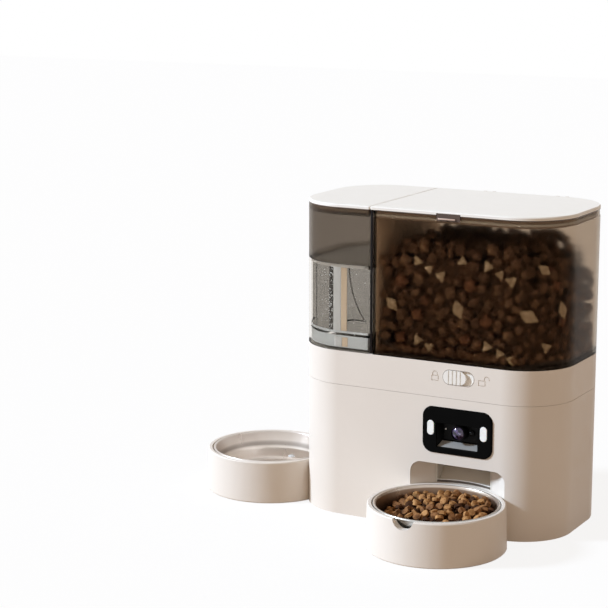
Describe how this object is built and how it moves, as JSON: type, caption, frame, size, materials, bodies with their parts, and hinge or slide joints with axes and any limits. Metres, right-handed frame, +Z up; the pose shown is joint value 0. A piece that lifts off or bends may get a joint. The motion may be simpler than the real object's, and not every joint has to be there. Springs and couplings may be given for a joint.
{
  "type": "pet feeder",
  "caption": "Automatic pet feeder with a smoked food hopper, a water tank, a front camera panel, a lock slider and steel food and water bowls in trays.",
  "frame": {"origin": "on the floor under the middle of the body's footprint", "axes": "+X to the right seen from the front, +Y to the back, +Z up"},
  "size_m": [0.4275, 0.2924, 0.333],
  "materials": {
    "cream_plastic": "satin",
    "white_plastic": "satin",
    "smoked_plastic": "clear smoked brown",
    "clear_plastic": "clear",
    "black_gloss": "gloss",
    "black_plastic": "matt",
    "steel": "brushed",
    "rubber": "matt",
    "silicone": "soft matt",
    "brass": "turned",
    "circuit_board": "solder mask",
    "lens_glass": "coated"
  },
  "bodies": {
    "base": {"base_housing": "cream_plastic", "base_plate": "cream_plastic", "base_screws": "steel", "rubber_feet": "rubber", "battery_box": "black_plastic", "battery_contacts": "steel", "top_deck": "cream_plastic", "food_chute": "cream_plastic", "motor_bracket": "black_plastic", "shaft_bush": "brass", "gear_motor": "steel", "main_board": "circuit_board", "board_posts": "black_plastic", "camera_panel": "black_gloss", "camera_housing": "black_plastic", "lens_barrel": "black_plastic", "camera_lens": "lens_glass", "motion_sensor": "black_plastic", "lamp_windows": "white_plastic", "speaker": "black_plastic", "dc_inlet": "black_plastic", "feed_pipe": "white_plastic", "feed_reservoir": "white_plastic", "reservoir_outlet": "white_plastic", "dock_seal": "rubber"},
    "hopper": {"hopper_shell": "smoked_plastic", "hopper_floor": "black_plastic", "hinge_pin": "steel"},
    "rotor": {"feed_rotor": "silicone"},
    "drive": {"drive_gear": "white_plastic"},
    "pinion": {"motor_pinion": "brass"},
    "lid": {"hopper_lid": "white_plastic", "lid_gasket": "silicone", "desiccant_box": "white_plastic"},
    "latch": {"lid_latch": "smoked_plastic"},
    "tank": {"tank_cover": "white_plastic", "tank_upper": "smoked_plastic", "tank_lower": "clear_plastic", "tank_cap": "white_plastic", "nozzle_seal": "rubber"},
    "valve": {"valve_plunger": "white_plastic"},
    "lock": {"lock_slider": "cream_plastic"},
    "food_tray": {"food_tray": "cream_plastic"},
    "food_bowl": {"food_bowl": "steel"},
    "water_tray": {"water_tray": "cream_plastic", "water_inlet": "white_plastic"},
    "water_bowl": {"water_bowl": "steel"},
    "battery_door": {"battery_door": "cream_plastic"},
    "button": {"pairing_button": "black_plastic"}
  },
  "joints": [
    {"name": "hopper_lift", "type": "slide", "parent": "base", "child": "hopper", "axis": [0, 0, 1], "range_m": [0, 0.2]},
    {"name": "rotor_spin", "type": "hinge", "parent": "hopper", "child": "rotor", "pos_m": [0.0465, 0.004, 0.13], "axis": [0, 0, 1], "continuous": true},
    {"name": "drive_gear_spin", "type": "hinge", "parent": "base", "child": "drive", "pos_m": [0.0465, 0.004, 0.09], "axis": [0, 0, 1], "continuous": true},
    {"name": "pinion_spin", "type": "hinge", "parent": "base", "child": "pinion", "pos_m": [0.0465, 0.0292, 0.09], "axis": [0, 0, 1], "continuous": true},
    {"name": "lid_hinge", "type": "hinge", "parent": "hopper", "child": "lid", "pos_m": [0.0465, 0.0863, 0.329], "axis": [-1, 0, 0], "range_deg": [0, 100]},
    {"name": "latch_push", "type": "slide", "parent": "lid", "child": "latch", "axis": [0, 1, 0], "range_m": [0, 0.0011], "stiffness_N_per_m": 600},
    {"name": "tank_lift", "type": "slide", "parent": "base", "child": "tank", "axis": [0, 0, 1], "range_m": [0, 0.2]},
    {"name": "valve_slide", "type": "slide", "parent": "tank", "child": "valve", "axis": [0, 0, -1], "range_m": [0, 0.003]},
    {"name": "lock_slide", "type": "slide", "parent": "base", "child": "lock", "axis": [1, 0, 0], "range_m": [0, 0.0082]},
    {"name": "food_tray_slide", "type": "slide", "parent": "base", "child": "food_tray", "axis": [0, -1, 0], "range_m": [0, 0.12]},
    {"name": "food_bowl_lift", "type": "slide", "parent": "food_tray", "child": "food_bowl", "axis": [0, 0, 1], "range_m": [0, 0.022]},
    {"name": "water_tray_slide", "type": "slide", "parent": "base", "child": "water_tray", "axis": [-1, 0, 0], "range_m": [0, 0.12]},
    {"name": "water_bowl_lift", "type": "slide", "parent": "water_tray", "child": "water_bowl", "axis": [0, 0, 1], "range_m": [0, 0.022]},
    {"name": "battery_door_slide", "type": "slide", "parent": "base", "child": "battery_door", "axis": [0, 0, -1], "range_m": [0, 0.03]},
    {"name": "button_push", "type": "slide", "parent": "base", "child": "button", "axis": [0, -1, 0], "range_m": [0, 0.0012], "stiffness_N_per_m": 600}
  ],
  "couplings": [
    {"joint": "drive_gear_spin", "follows": "rotor_spin", "ratio": 1},
    {"joint": "pinion_spin", "follows": "rotor_spin", "ratio": -2.5},
    {"joint": "valve_slide", "follows": "tank_lift", "ratio": 0.015}
  ]
}
